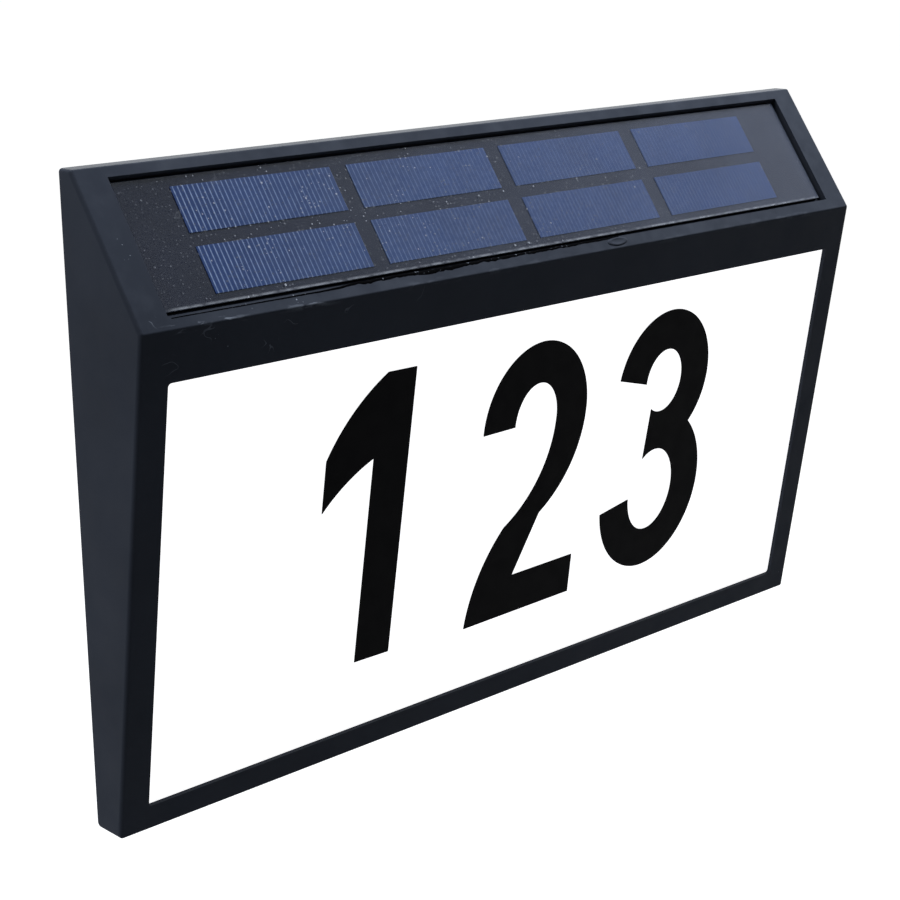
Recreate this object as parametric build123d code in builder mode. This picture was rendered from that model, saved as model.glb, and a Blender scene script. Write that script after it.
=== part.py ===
"""Illuminated house number sign: a solar wedge that hangs on a wall.

The origin is the centre of the flat back. X runs along the sign, Z is up, and the wall lies on the +Y side,
so the front looks towards -Y.
"""

from build123d import *
from math import atan2, hypot, radians, tan
import os

# Outer form
width = 286.0
height = 176.2
depth = 31.9  # at the brow, where front and solar face meet
foot_depth = 11.0
top_depth = 5.4
solar_drop = 37.0  # from the top edge down to the brow
wall = 2.4
crease_round = 0.8
side_round = 1.1
foot_round = 1.6
crisp_edge = 0.35

# Front frame and light panel
side_rail = 8.9
top_rail = 13.8
foot_rail = 7.0
window_corner = 1.0
window_lip = 1.3
panel_thickness = 2.0
panel_seal_thickness = 0.3
panel_side_margin = 1.8
panel_end_margin = 3.4
panel_play = 0.2
seal_setback = 0.6

# Solar panel
solar_side_bezel = 9.7
solar_top_bezel = 3.1
solar_brow_bezel = 3.7
solar_sink = 1.0
solar_floor = 1.4
solar_seal_thickness = 0.3
solar_seal_width = 4.0
solar_board_thickness = 1.2
solar_film_thickness = 0.5
cell_thickness = 0.25
solar_left_gap = 0.3
solar_right_gap = 1.9
solar_brow_gap = 1.5
solar_top_gap = 1.0
cell_columns = 4
cell_rows = 2
cell_width = 52.3
cell_height = 13.3
cell_pitch_x = 58.2
cell_pitch_y = 17.2
cell_offset_x = -1.6  # from the middle of the board
cell_offset_y = -0.15

# Numerals: left, middle, right, measured on the front face from the middle of the window
numeral_height = 88.0
numeral_stroke = 13.0
numeral_centres_x = (-60.6, 2.7, 60.3)
numeral_rises = (5.6, 4.4, 5.4)
numeral_tilts = (-0.6, 1.1, 0.9)
vinyl = 0.25

# Back cover, its seal and its fixings
cover_thickness = 2.2
cover_play = 0.25
cover_corner = 1.0
gasket_thickness = 0.8
ledge_width = 3.2
ledge_thickness = 1.6
gasket_width = 2.6
boss_radius = 3.0
screw_inset = 7.6  # outer screws, from the side of the cover's opening
inner_screw_x = 70.0
row_screw_drop = 13.6
pilot_play = 0.05
screw_hole_play = 0.3
pilot_depth = 6.0
boss_skin = 1.2  # left between a boss and the solar face
screw_radius = 1.3
screw_head_radius = 2.6
screw_head = 1.1
screw_length = 6.5
shank_sides = 8
head_play = 0.1
hook_x = (-110.0, -40.0, 40.0, 110.0)
hook_width = 12.0
hook_thickness = 1.2
hook_play = 0.2
hook_reach = 1.9

# Keyholes for two wall screws
keyhole_spacing = 200.0
keyhole_drop = 35.6  # entry, below the top of the sign
keyhole_rise = 9.0
keyhole_radius = 4.75
keyhole_slot = 4.5
keyhole_room = 5.5
pocket_play = 0.5
pocket_wall = 1.2

# Light tray and lamps
tray_wall = 1.2
tray_margin = 0.4  # beyond the window at each side
tray_rib_x = (-90.0, 0.0, 90.0)
tray_rib_width = 2.0
tray_gap = 3.0  # from the cover to the tray
tray_foot_lift = 0.4
lamp_count = 12
lamp_length = 3.5
lamp_width = 2.8
lamp_height = 0.8
lamp_window_play = 1.0
led_board_end = 9.2  # from the end of the tray
led_board_width = 12.0
led_board_thickness = 1.0
led_board_front_gap = 3.0
tray_headroom = 1.6  # ceiling of the tray above the window

# Battery and its bay
battery_radius = 7.15
battery_length = 48.5
battery_edge = 0.4
battery_nub_radius = 2.75
battery_nub_length = 1.5
battery_x = -45.0
battery_lift = 2.84  # from the lamps' board to the bay
battery_door_gap = 0.75
bay_play = 0.35
bay_wall = 1.5
bay_end_room = 4.0
contact_thickness = 0.4
contact_height = 9.0
contact_width = 5.0
contact_tab = 2.0
contact_tab_height = 3.0
contact_play = 0.1
door_thickness = 2.0
door_play = 0.25
door_corner = 2.0
door_gasket_thickness = 0.6
door_gasket_width = 1.6
door_gasket_play = 0.2
door_lip = 3.4
door_end = 9.0
door_frame = 2.0
door_screw_setback = 4.0
door_screw_length = 5.0
door_pilot_depth = 4.6
door_boss_length = 5.6
door_rib_height = 0.65
door_rib_width = 2.0
door_rib_spacing = 30.0

# Control board, switch and button
board_length = 52.0
board_height = 20.0
board_thickness = 1.2
board_x = 36.0
board_lift = 3.85  # from the lamps' board to the control board
board_depth = 9.0
board_corner_inset = 3.2
post_width = 5.0
board_screw_radius = 0.9
board_screw_head_radius = 1.9
board_screw_head = 1.1
board_screw_length = 4.5
button_radius = 4.5
button_play = 0.3
button_sink = 0.3
button_edge = 0.4
button_travel = 1.0
button_flange = 0.8
button_flange_overlap = 1.5
button_seal_width = 3.0
button_seal_thickness = 1.0
button_seal_gap = 0.2
dish_radius = 8.0
dish_depth = 0.7
switch_size = 6.0
switch_room = 0.3
plunger_radius = 1.7
plunger_length = 3.0
plunger_play = 0.3
plunger_end_room = 0.2
dimple_radius = 2.8
dimple_depth = 0.2
chip_size = (10.0, 4.0, 1.6)
coil_size = (6.0, 6.0, 3.0)
can_radius = 2.5
can_height = 5.0

# Leads between the parts
lead_radius = 0.65
lead_sides = 6
lead_pitch = 1.6
lead_hole_radius = 2.4
solar_lead_x = 82.0
solar_lead_y = 14.0  # up the slope from the brow
lamp_lead_x = 78.0
plug_length = 4.0
plug_width = 5.0
plug_height = 3.4
solar_plug_rise = 1.0  # above the middle of the control board
lamp_plug_rise = -6.0
battery_plug_rise = 2.0
bend_share = 0.45
lead_out = 7.0  # straight out of what it starts from
lead_in = 8.0  # straight into its plug
solar_lead_in = 9.0
far_loop = 11.0  # round the far end of the battery
far_drop = 18.0
bay_lead_room = 2.8

brow_height = height - solar_drop
foot = -height / 2
top = height / 2
brow = foot + brow_height
lean = (depth - foot_depth) / brow_height
front_length = hypot(brow_height, depth - foot_depth)
slope_length = hypot(solar_drop, depth - top_depth)
slope_angle = atan2(solar_drop, depth - top_depth)

front = Plane(
    origin=(0, -foot_depth, foot),
    x_dir=(1, 0, 0),
    z_dir=(0, -brow_height, foot_depth - depth),
)
solar = Plane(
    origin=(0, -depth, brow),
    x_dir=(1, 0, 0),
    z_dir=(0, brow - top, depth - top_depth),
)
back = Plane(origin=(0, 0, 0), x_dir=(1, 0, 0), z_dir=(0, -1, 0))  # its depth runs into the sign


def front_y(z, inset):
    """Y of the plane that lies inset mm behind the front face, at the height z."""
    return -foot_depth - lean * (z - foot) + inset * hypot(1, lean)


def at_back(x, z, inset=0.0):
    """A place on the back whose own Z axis points out at the wall."""
    return Location(Plane(origin=(x, -inset, z), x_dir=(1, 0, 0), z_dir=(0, 1, 0)))


def finish(builder, name):
    """Labels a piece and writes it."""
    builder.part.label = name
    export_step(builder.part, f"parts/{name}.step")


os.makedirs("parts", exist_ok=True)

# Sizes that several pieces share
panel_front_depth = window_lip + panel_seal_thickness
panel_back_depth = panel_front_depth + panel_thickness
window_width = width - 2 * side_rail
window_height = front_length - top_rail - foot_rail
window_centre = foot_rail + window_height / 2
panel_width = window_width + 2 * panel_side_margin
panel_height = window_height + 2 * panel_end_margin

recess_width = width - 2 * solar_side_bezel
recess_height = slope_length - solar_top_bezel - solar_brow_bezel
recess_centre = solar_brow_bezel + recess_height / 2
solar_stack = solar_seal_thickness + solar_board_thickness + solar_film_thickness
recess_depth = solar_sink + solar_stack
solar_width = recess_width - solar_left_gap - solar_right_gap
solar_height = recess_height - solar_brow_gap - solar_top_gap
solar_x = (solar_left_gap - solar_right_gap) / 2
solar_y = recess_centre + (solar_brow_gap - solar_top_gap) / 2

opening_width = width - 2 * wall
opening_height = height - 2 * wall
ledge_depth = cover_thickness + gasket_thickness
window_top = foot + (front_length - top_rail) / hypot(1, lean)
tray_back = cover_thickness + tray_gap
tray_top = window_top + tray_headroom + tray_wall
tray_width = window_width + 2 * tray_margin
led_board_length = tray_width - 2 * led_board_end
lamp_pitch = led_board_length / lamp_count
lamps_top = tray_top + led_board_thickness
hook_foot = foot + wall + ledge_width + hook_play
tray_foot = hook_foot + hook_thickness + tray_foot_lift

outer_screw_x = opening_width / 2 - screw_inset
row_screw_z = top - row_screw_drop
cover_screws_at = [(side * x, row_screw_z) for x in (inner_screw_x, outer_screw_x) for side in (-1, 1)]
slope_depth = top_depth + (row_screw_drop - boss_radius) / tan(slope_angle)
row_boss_length = slope_depth - boss_skin - cover_thickness

battery_z = lamps_top + battery_lift + bay_wall + bay_play + battery_radius
battery_y = -(door_thickness + battery_door_gap + battery_radius)
bay_radius = battery_radius + bay_play
bay_length = battery_length + battery_nub_length + 2 * bay_end_room
door_half_height = bay_radius + door_lip
door_half_length = bay_length / 2 + door_end
door_ledge = door_thickness + door_gasket_thickness
door_screws_at = [
    (battery_x + side * (door_half_length - door_screw_setback), battery_z) for side in (-1, 1)
]

board_z = lamps_top + board_lift + board_height / 2
board_posts = [
    (board_x + side * (board_length / 2 - board_corner_inset),
     board_z + side * (board_height / 2 - board_corner_inset))
    for side in (-1, 1)
]
keyhole_z = top - keyhole_drop
keyhole_centre = keyhole_z + keyhole_rise / 2
pocket_radius = keyhole_radius + pocket_play


# Housing: the moulded wedge, open at the back
side_profile = [
    (0, foot),
    (-foot_depth, foot),
    (-depth, brow),
    (-top_depth, top),
    (0, top),
]
cavity_profile = [(2 * wall, foot), *side_profile[1:4], (2 * wall, top)]

with BuildPart() as housing:
    with BuildSketch(Plane.YZ):
        with BuildLine():
            Polyline(*side_profile, close=True)
        make_face()
    extrude(amount=width / 2, both=True)
    long_edges = housing.edges().filter_by(Axis.X)
    fillet(long_edges.sort_by(Axis.Y)[0], crease_round)
    fillet(housing.edges().filter_by(Axis.X).group_by(Axis.Z)[-1], crease_round)
    fillet(housing.edges().filter_by(Axis.X).group_by(Axis.Z)[0].sort_by(Axis.Y)[-1], foot_round)
    fillet(housing.edges().filter_by(Axis.X).group_by(Axis.Z)[0].sort_by(Axis.Y)[0], crisp_edge)
    cheeks = housing.faces().filter_by(Axis.X)
    fillet(cheeks.edges().filter_by(lambda edge: edge.center().Z > brow + side_round), side_round)
    with BuildSketch(Plane.YZ):
        with BuildLine():
            Polyline(*cavity_profile, close=True)
        make_face()
        offset(amount=-wall, kind=Kind.INTERSECTION)
    extrude(amount=opening_width / 2, both=True, mode=Mode.SUBTRACT)
    # the floor under the solar panel
    with BuildSketch(solar):
        with Locations((0, recess_centre)):
            Rectangle(recess_width + 2 * solar_floor, recess_height + 2 * solar_floor)
    extrude(amount=-(recess_depth + solar_floor))
    # the ledge that the cover's seal rests on
    with BuildSketch(back.offset(ledge_depth)):
        Rectangle(opening_width, opening_height)
        Rectangle(opening_width - 2 * ledge_width, opening_height - 2 * ledge_width, mode=Mode.SUBTRACT)
    extrude(amount=ledge_thickness)
    # the room of the cover and its seal
    with BuildSketch(back):
        Rectangle(opening_width, opening_height)
    extrude(amount=ledge_depth, mode=Mode.SUBTRACT)
    # screw bosses from the solar floor up to the cover
    with BuildSketch(back.offset(cover_thickness)):
        with Locations(*cover_screws_at):
            Circle(boss_radius)
    extrude(amount=row_boss_length)
    with BuildSketch(back.offset(cover_thickness)):
        with Locations(*cover_screws_at):
            RegularPolygon(screw_radius + pilot_play, shank_sides)
    extrude(amount=pilot_depth, mode=Mode.SUBTRACT)
    # recess of the solar panel, with the hole for its leads
    with BuildSketch(solar):
        with Locations((0, recess_centre)):
            Rectangle(recess_width, recess_height)
    extrude(amount=-recess_depth, mode=Mode.SUBTRACT)
    with BuildSketch(solar.offset(-recess_depth)):
        with Locations((solar_lead_x, solar_lead_y)):
            Circle(lead_hole_radius)
    extrude(amount=-solar_floor, mode=Mode.SUBTRACT)
    # window, with the seat of the light panel behind it
    with BuildSketch(front):
        with Locations((0, window_centre)):
            RectangleRounded(window_width, window_height, window_corner)
    extrude(amount=-panel_back_depth, mode=Mode.SUBTRACT)
    with BuildSketch(front.offset(-window_lip)):
        with Locations((0, window_centre)):
            Rectangle(panel_width + 2 * panel_play, panel_height + 2 * panel_play)
    extrude(amount=-panel_thickness, mode=Mode.SUBTRACT)
finish(housing, "housing")

# Light panel and its seal
with BuildPart() as panel_seal:
    with BuildSketch(front.offset(-window_lip)):
        with Locations((0, window_centre)):
            Rectangle(panel_width, panel_height)
            Rectangle(
                window_width + 2 * seal_setback,
                window_height + 2 * seal_setback,
                mode=Mode.SUBTRACT,
            )
    extrude(amount=-panel_seal_thickness)
finish(panel_seal, "panel_seal")

with BuildPart() as light_panel:
    with BuildSketch(front.offset(-panel_front_depth)):
        with Locations((0, window_centre)):
            Rectangle(panel_width, panel_height)
    extrude(amount=-panel_thickness)
finish(light_panel, "light_panel")

# Solar panel: seal, board, cells and clear film, stacked in the recess
with BuildPart() as solar_seal:
    with BuildSketch(solar.offset(-recess_depth)):
        with Locations((solar_x, solar_y)):
            Rectangle(solar_width, solar_height)
            Rectangle(
                solar_width - 2 * solar_seal_width,
                solar_height - 2 * solar_seal_width,
                mode=Mode.SUBTRACT,
            )
    extrude(amount=solar_seal_thickness)
finish(solar_seal, "solar_seal")

board_face = solar.offset(solar_seal_thickness + solar_board_thickness - recess_depth)
with BuildPart() as solar_board:
    with BuildSketch(board_face):
        with Locations((solar_x, solar_y)):
            Rectangle(solar_width, solar_height)
    extrude(amount=-solar_board_thickness)
finish(solar_board, "solar_board")

with BuildPart() as solar_cells:
    with BuildSketch(board_face):
        with Locations((solar_x + cell_offset_x, solar_y + cell_offset_y)):
            with GridLocations(cell_pitch_x, cell_pitch_y, cell_columns, cell_rows):
                Rectangle(cell_width, cell_height)
    extrude(amount=cell_thickness)
finish(solar_cells, "solar_cells")

with BuildPart() as solar_film:
    with BuildSketch(board_face):
        with Locations((solar_x, solar_y)):
            Rectangle(solar_width, solar_height)
    extrude(amount=solar_film_thickness)
    add(solar_cells.part, mode=Mode.SUBTRACT)
finish(solar_film, "solar_film")


# Numerals: die-cut film on the front of the light panel
def outline_one(tall, stroke):
    """A one whose flag sweeps down to the left."""
    half = tall / 2
    stem_right = 0.86 * stroke
    stem_left = stem_right - stroke
    flag_left = stem_left - 1.33 * stroke
    flag_foot = 0.07 * tall
    flag_head = flag_foot + 1.18 * stroke
    with BuildSketch() as numeral:
        with BuildLine():
            stem = Polyline(
                (stem_left + 0.2 * stroke, half),
                (stem_right, half),
                (stem_right, -half),
                (stem_left, -half),
                (stem_left, flag_foot + stroke),
            )
            under = SagittaArc(stem @ 1, (flag_left, flag_foot), -0.09 * stroke)
            edge = Line(under @ 1, (flag_left, flag_head))
            SagittaArc(edge @ 1, stem @ 0, 0.16 * stroke)
        make_face()
    return numeral.sketch


def outline_two(tall, stroke):
    """A two with a round bowl, a neck that runs down to the left and a flat foot."""
    half = tall / 2
    bowl_half = 1.68 * stroke
    bowl_drop = 1.95 * stroke
    bowl_y = half - bowl_drop
    foot_top = stroke - half
    with BuildSketch() as numeral:
        with BuildLine():
            outer = EllipticalCenterArc((0, bowl_y), bowl_half, bowl_drop, arc_size=180)
            right = TangentArc(outer @ 0, (0.42 * stroke, -0.14 * tall), tangent=(0, -1))
            base = Polyline(
                right @ 1,
                (-0.3 * stroke, foot_top),
                (1.75 * stroke, foot_top),
                (1.75 * stroke, -half),
                (-1.75 * stroke, -half),
            )
            left = TangentArc(base @ 1, (-0.72 * stroke, -0.155 * tall), tangent=(0.1, 1))
            inner = EllipticalCenterArc(
                (0, bowl_y), bowl_half - stroke, bowl_drop - stroke, arc_size=180
            )
            TangentArc(inner @ 0, left @ 1, tangent=(0, -1))
            Line(outer @ 1, inner @ 1)
        make_face()
    return numeral.sketch


def outline_three(tall, stroke):
    """A three: two rings, one above the other, open to the left."""
    half = tall / 2
    waist = 0.04 * tall
    half_stroke = stroke / 2
    rings = (
        (1.64 * stroke, half, waist - half_stroke),
        (1.8 * stroke, waist + half_stroke, -half),
    )
    with BuildSketch() as numeral:
        for ring_half, high, low in rings:
            with Locations((0, (high + low) / 2)):
                Ellipse(ring_half, (high - low) / 2)
        for ring_half, high, low in rings:
            with Locations((0, (high + low) / 2)):
                Ellipse(ring_half - stroke, (high - low) / 2 - stroke, mode=Mode.SUBTRACT)
        with BuildLine():
            Polyline(
                (-0.3 * stroke, 0.22 * tall),
                (-2 * stroke, 0.29 * tall),
                (-2 * stroke, -0.24 * tall),
                (-0.5 * stroke, -0.2 * tall),
                close=True,
            )
        make_face(mode=Mode.SUBTRACT)
    return numeral.sketch


outlines = (outline_one, outline_two, outline_three)
sides = ("left", "middle", "right")
for outline, side, x, rise, tilt in zip(
    outlines, sides, numeral_centres_x, numeral_rises, numeral_tilts
):
    with BuildPart() as numeral:
        with BuildSketch(front.offset(-panel_front_depth)):
            with Locations((x, window_centre + rise)):
                add(outline(numeral_height, numeral_stroke), rotation=tilt)
        extrude(amount=vinyl)
    finish(numeral, f"numeral_{side}")


# Light tray, its lamps and their board
tray_profile = [
    (-tray_back, tray_foot),
    (-tray_back, tray_top),
    (front_y(tray_top, panel_back_depth), tray_top),
    (front_y(tray_foot, panel_back_depth), tray_foot),
]
tray_cavity = [
    *tray_profile[:2],
    (front_y(tray_top, -wall), tray_top),
    (front_y(tray_foot, -wall), tray_foot),
]
led_board_y = front_y(tray_top, panel_back_depth) + led_board_front_gap + led_board_width / 2
lamp_row = Plane(origin=(0, led_board_y, tray_top), z_dir=(0, 0, 1))

with BuildPart() as light_tray:
    with BuildSketch(Plane.YZ):
        with BuildLine():
            Polyline(*tray_profile, close=True)
        make_face()
    extrude(amount=tray_width / 2 + tray_wall, both=True)
    with BuildSketch(Plane.YZ):
        with BuildLine():
            Polyline(*tray_cavity, close=True)
        make_face()
        offset(amount=-tray_wall, kind=Kind.INTERSECTION)
    extrude(amount=tray_width / 2, both=True, mode=Mode.SUBTRACT)
    with BuildSketch(lamp_row):
        with GridLocations(lamp_pitch, 0, lamp_count, 1):
            Rectangle(lamp_length + 2 * lamp_window_play, lamp_width + 2 * lamp_window_play)
    extrude(amount=-tray_wall, mode=Mode.SUBTRACT)
finish(light_tray, "light_tray")

with BuildPart() as led_board:
    with BuildSketch(lamp_row):
        Rectangle(led_board_length, led_board_width)
    extrude(amount=led_board_thickness)
finish(led_board, "led_board")

with BuildPart() as leds:
    with BuildSketch(lamp_row):
        with GridLocations(lamp_pitch, 0, lamp_count, 1):
            Rectangle(lamp_length, lamp_width)
    extrude(amount=-lamp_height)
finish(leds, "leds")


# Back cover
with BuildPart() as back_cover:
    cover_width = opening_width - 2 * cover_play
    cover_height = opening_height - 2 * cover_play
    with BuildSketch(back):
        RectangleRounded(cover_width, cover_height, cover_corner)
    extrude(amount=cover_thickness)
    # ribs that press the light tray forward
    with BuildSketch(back.offset(cover_thickness)):
        for x in tray_rib_x:
            with Locations((x, (tray_foot + tray_top) / 2)):
                Rectangle(tray_rib_width, tray_top - tray_foot - 2 * tray_rib_width)
    extrude(amount=tray_gap)
    # hooks that catch behind the ledge at the foot
    hook_back = ledge_depth + ledge_thickness + hook_play
    hook_profile = [
        (-cover_thickness, hook_foot),
        (-cover_thickness, hook_foot + hook_thickness),
        (-hook_back - hook_thickness, hook_foot + hook_thickness),
        (-hook_back - hook_thickness, hook_foot - hook_reach),
        (-hook_back, hook_foot - hook_reach),
        (-hook_back, hook_foot),
    ]
    for x in hook_x:
        with BuildSketch(Plane.YZ.offset(x)):
            with BuildLine():
                Polyline(*hook_profile, close=True)
            make_face()
        extrude(amount=hook_width / 2, both=True)
    # frame and bay of the battery
    with BuildSketch(back.offset(cover_thickness)):
        with Locations((battery_x, battery_z)):
            Rectangle(2 * (door_half_length + door_frame), 2 * (door_half_height + door_frame))
    extrude(amount=door_ledge + door_frame - cover_thickness)
    with BuildSketch(Plane.YZ.offset(battery_x)):
        with Locations((battery_y, battery_z)):
            Circle(bay_radius + bay_wall)
        with Locations((battery_y / 2 - cover_thickness / 2, battery_z)):
            Rectangle(-battery_y - cover_thickness, 2 * (bay_radius + bay_wall))
    extrude(amount=bay_length / 2 + bay_wall, both=True)
    with BuildSketch(back.offset(door_thickness)):
        with Locations(*door_screws_at):
            Circle(boss_radius)
    extrude(amount=door_boss_length)
    # walls of the keyhole pockets
    with BuildSketch(back.offset(cover_thickness)):
        for side in (-1, 1):
            with Locations((side * keyhole_spacing / 2, keyhole_centre)):
                SlotCenterToCenter(keyhole_rise, 2 * (pocket_radius + pocket_wall), rotation=90)
    extrude(amount=keyhole_room + pocket_wall)
    # posts of the control board
    with BuildSketch(back.offset(cover_thickness)):
        with Locations(*board_posts):
            Rectangle(post_width, post_width)
    extrude(amount=board_depth - cover_thickness)

    # cuts: door seat, bay, keyholes, button, screw holes
    with BuildSketch(back):
        with Locations((battery_x, battery_z)):
            RectangleRounded(
                2 * (door_half_length + door_play),
                2 * (door_half_height + door_play),
                door_corner + door_play,
            )
            with GridLocations(2 * (door_half_length - door_screw_setback), 0, 2, 1):
                Circle(boss_radius, mode=Mode.SUBTRACT)
    extrude(amount=door_ledge, mode=Mode.SUBTRACT)
    with BuildSketch(back):
        with Locations(*door_screws_at):
            Circle(boss_radius)
    extrude(amount=door_thickness, mode=Mode.SUBTRACT)
    with BuildSketch(Plane.YZ.offset(battery_x)):
        with Locations((battery_y, battery_z)):
            Circle(bay_radius)
        with Locations((battery_y / 2, battery_z)):
            Rectangle(-battery_y, 2 * bay_radius)
    extrude(amount=bay_length / 2, both=True, mode=Mode.SUBTRACT)
    with BuildSketch(back.offset(-battery_y - contact_tab_height / 2)):
        with Locations((battery_x, battery_z)):
            Rectangle(bay_length + 2 * (bay_wall + pocket_play), contact_thickness + 2 * pilot_play)
    extrude(amount=contact_tab_height, mode=Mode.SUBTRACT)
    with BuildSketch(back):
        for side in (-1, 1):
            with Locations((side * keyhole_spacing / 2, keyhole_z)):
                Circle(keyhole_radius)
            with Locations((side * keyhole_spacing / 2, keyhole_centre)):
                SlotCenterToCenter(keyhole_rise, keyhole_slot, rotation=90)
    extrude(amount=cover_thickness, mode=Mode.SUBTRACT)
    with BuildSketch(back.offset(cover_thickness)):
        for side in (-1, 1):
            with Locations((side * keyhole_spacing / 2, keyhole_centre)):
                SlotCenterToCenter(keyhole_rise, 2 * pocket_radius, rotation=90)
    extrude(amount=keyhole_room, mode=Mode.SUBTRACT)
    with Locations(at_back(board_x, board_z)):
        CounterBoreHole(button_radius + button_play, dish_radius, dish_depth, depth=cover_thickness)
    with BuildSketch(back):
        with Locations(*cover_screws_at):
            Circle(screw_head_radius + head_play)
    extrude(amount=screw_head + head_play, mode=Mode.SUBTRACT)
    with BuildSketch(back):
        with Locations(*cover_screws_at):
            RegularPolygon(screw_radius + screw_hole_play, shank_sides)
    extrude(amount=cover_thickness, mode=Mode.SUBTRACT)
    with BuildSketch(back.offset(door_thickness)):
        with Locations(*door_screws_at):
            RegularPolygon(screw_radius + pilot_play, shank_sides)
    extrude(amount=door_pilot_depth, mode=Mode.SUBTRACT)
    with BuildSketch(back.offset(board_depth)):
        with Locations(*board_posts):
            RegularPolygon(board_screw_radius + pilot_play, shank_sides)
    extrude(amount=-board_screw_length, mode=Mode.SUBTRACT)
finish(back_cover, "back_cover")

with BuildPart() as cover_gasket:
    with BuildSketch(back.offset(cover_thickness)):
        RectangleRounded(cover_width, cover_height, cover_corner)
        Rectangle(cover_width - 2 * gasket_width, cover_height - 2 * gasket_width, mode=Mode.SUBTRACT)
    extrude(amount=gasket_thickness)
finish(cover_gasket, "cover_gasket")


# Screws
def pan_head_screw(radius, head_radius, head, length):
    """A screw whose head stands on Z = 0 and whose shank runs down from there."""
    with BuildPart() as screw:
        with BuildSketch():
            Circle(head_radius)
        extrude(amount=head)
        with BuildSketch():
            RegularPolygon(radius, shank_sides)
        extrude(amount=-length)
    return screw.part


cover_screw = pan_head_screw(screw_radius, screw_head_radius, screw_head, screw_length)
with BuildPart() as cover_screws:
    with Locations(*[at_back(x, z, screw_head + head_play) for x, z in cover_screws_at]):
        add(cover_screw)
finish(cover_screws, "cover_screws")

door_screw = pan_head_screw(screw_radius, screw_head_radius, screw_head, door_screw_length)
with BuildPart() as door_screws:
    with Locations(*[at_back(x, z, screw_head) for x, z in door_screws_at]):
        add(door_screw)
finish(door_screws, "door_screws")

# Battery, its contacts and its door
bay = Plane(origin=(battery_x, battery_y, battery_z), x_dir=(1, 0, 0), z_dir=(0, -1, 0))
cell_end = (battery_length + battery_nub_length) / 2

with BuildPart() as battery:
    with BuildSketch(Plane.YZ.offset(battery_x - cell_end)):
        with Locations((battery_y, battery_z)):
            Circle(battery_radius)
    extrude(amount=battery_length)
    chamfer(battery.edges(), battery_edge)
    with BuildSketch(Plane.YZ.offset(battery_x - cell_end)):
        with Locations((battery_y, battery_z)):
            Circle(battery_nub_radius)
    extrude(amount=battery_length + battery_nub_length)
finish(battery, "battery")

with BuildPart() as battery_contacts:
    bow = bay_end_room - contact_play
    for side in (-1, 1):
        end = side * bay_length / 2
        with BuildSketch(bay):
            with BuildLine():
                leaf = ThreePointArc(
                    (end, contact_height / 2),
                    (end - side * bow, 0),
                    (end, -contact_height / 2),
                )
                Line(leaf @ 0, leaf @ 1)
            make_face()
            with BuildLine():
                hollow = ThreePointArc(
                    (end - side * contact_thickness, contact_height / 2 - 2 * contact_thickness),
                    (end - side * (bow - contact_thickness), 0),
                    (end - side * contact_thickness, 2 * contact_thickness - contact_height / 2),
                )
                Line(hollow @ 0, hollow @ 1)
            make_face(mode=Mode.SUBTRACT)
        extrude(amount=contact_width / 2, both=True)
        with BuildSketch(bay):
            with Locations((end + side * (bay_wall + contact_tab) / 2, 0)):
                Rectangle(bay_wall + contact_tab, contact_thickness)
        extrude(amount=contact_tab_height / 2, both=True)
finish(battery_contacts, "battery_contacts")

with BuildPart() as battery_door:
    with BuildSketch(back):
        with Locations((battery_x, battery_z)):
            RectangleRounded(2 * door_half_length, 2 * door_half_height, door_corner)
    extrude(amount=door_thickness)
    with BuildSketch(back.offset(door_thickness)):
        with Locations((battery_x, battery_z)):
            with GridLocations(door_rib_spacing, 0, 2, 1):
                Rectangle(door_rib_width, 2 * battery_radius)
    extrude(amount=door_rib_height)
    with BuildSketch(back):
        with Locations(*door_screws_at):
            Circle(screw_head_radius + head_play)
    extrude(amount=screw_head, mode=Mode.SUBTRACT)
    with BuildSketch(back):
        with Locations(*door_screws_at):
            RegularPolygon(screw_radius + screw_hole_play, shank_sides)
    extrude(amount=door_thickness, mode=Mode.SUBTRACT)
finish(battery_door, "battery_door")

with BuildPart() as door_gasket:
    seal_half_length = bay_length / 2 + door_gasket_play
    seal_half_height = bay_radius + door_gasket_play
    with BuildSketch(back.offset(door_thickness)):
        with Locations((battery_x, battery_z)):
            Rectangle(
                2 * (seal_half_length + door_gasket_width),
                2 * (seal_half_height + door_gasket_width),
            )
            Rectangle(2 * seal_half_length, 2 * seal_half_height, mode=Mode.SUBTRACT)
    extrude(amount=door_gasket_thickness)
finish(door_gasket, "door_gasket")

# Control board with its parts
board_front = board_depth + board_thickness
plug_depth = board_front + plug_height / 2
right_edge = board_x + board_length / 2
left_edge = board_x - board_length / 2

with BuildPart() as control_board:
    with BuildSketch(back.offset(board_depth)):
        with Locations((board_x, board_z)):
            Rectangle(board_length, board_height)
        with Locations(*board_posts):
            RegularPolygon(board_screw_radius + screw_hole_play, shank_sides, mode=Mode.SUBTRACT)
    extrude(amount=board_thickness)
finish(control_board, "control_board")

with BuildPart() as board_parts:
    with BuildSketch(back.offset(board_front)):
        with Locations(
            (right_edge - plug_length / 2, board_z + solar_plug_rise),
            (right_edge - plug_length / 2, board_z + lamp_plug_rise),
            (left_edge + plug_length / 2, board_z + battery_plug_rise),
        ):
            Rectangle(plug_length, plug_width)
    extrude(amount=plug_height)
    with BuildSketch(back.offset(board_front)):
        with Locations((board_x + chip_size[0] / 2, board_z + chip_size[1])):
            Rectangle(chip_size[0], chip_size[1])
    extrude(amount=chip_size[2])
    with BuildSketch(back.offset(board_front)):
        with Locations((board_x + coil_size[0], board_z - coil_size[1] / 2)):
            RectangleRounded(coil_size[0], coil_size[1], window_corner)
    extrude(amount=coil_size[2])
    with BuildSketch(back.offset(board_front)):
        with Locations((board_x - 2 * can_radius, board_z)):
            Circle(can_radius)
    extrude(amount=can_height)
finish(board_parts, "board_parts")

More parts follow.
